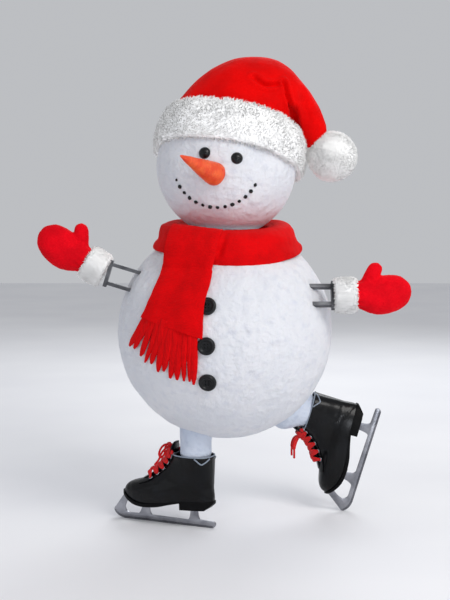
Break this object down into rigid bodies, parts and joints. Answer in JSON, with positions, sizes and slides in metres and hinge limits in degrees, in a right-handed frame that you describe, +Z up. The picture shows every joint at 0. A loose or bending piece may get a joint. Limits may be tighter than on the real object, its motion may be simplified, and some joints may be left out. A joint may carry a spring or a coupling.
{
  "type": "skating snowman",
  "caption": "Smiling snowman on ice skates, in a red pompom hat, scarf and mittens on steel brackets; packed snow balls with a carrot nose and black pebbles.",
  "frame": {"origin": "bottom centre of the bounding box, on the ice that the standing blade rests on", "axes": "+Z up, +X to the viewer's right when the face is seen, +Y away from the viewer, so the face looks along -Y"},
  "size_m": [0.7276, 0.4363, 0.931],
  "materials": {
    "snow": "packed snow, matt and faintly mottled",
    "leg_snow": "icier packed snow, bluish",
    "carrot": "raw carrot skin with fine rings",
    "coal": "black polished pebble",
    "hat_plush": "soft red plush",
    "white_fur": "white plush fur",
    "scarf_knit": "red fine knit",
    "mitten_felt": "red felted wool",
    "bracket_steel": "dull dark steel",
    "boot_leather": "glossy black leather",
    "sole_leather": "black stacked sole",
    "blade_steel": "satin steel with a ground edge",
    "tongue_lining": "pale felt lining",
    "lace_cord": "red braided lace"
  },
  "bodies": {
    "root": {"body_snowball": "snow", "head_snowball": "snow", "standing_leg": "leg_snow", "trailing_leg": "leg_snow", "eye_left": "coal", "eye_right": "coal", "nose_carrot": "carrot", "button_top": "coal", "button_middle": "coal", "button_bottom": "coal", "hat_cap": "hat_plush", "hat_band": "white_fur", "hat_pompom": "white_fur", "scarf": "scarf_knit", "left_arm_bracket": "bracket_steel", "right_arm_bracket": "bracket_steel", "left_mitten": "mitten_felt", "right_mitten": "mitten_felt", "left_cuff": "white_fur", "right_cuff": "white_fur", "standing_boot": "boot_leather", "standing_sole": "sole_leather", "standing_blade": "blade_steel", "standing_tongue": "tongue_lining", "standing_laces": "lace_cord", "trailing_boot": "boot_leather", "trailing_sole": "sole_leather", "trailing_blade": "blade_steel", "trailing_tongue": "tongue_lining", "trailing_laces": "lace_cord", "mouth_pebble_01": "coal", "mouth_pebble_02": "coal", "mouth_pebble_03": "coal", "mouth_pebble_04": "coal", "mouth_pebble_05": "coal", "mouth_pebble_06": "coal", "mouth_pebble_07": "coal", "mouth_pebble_08": "coal", "mouth_pebble_09": "coal", "mouth_pebble_10": "coal", "mouth_pebble_11": "coal", "mouth_pebble_12": "coal", "mouth_pebble_13": "coal", "mouth_pebble_14": "coal"}
  },
  "joints": []
}
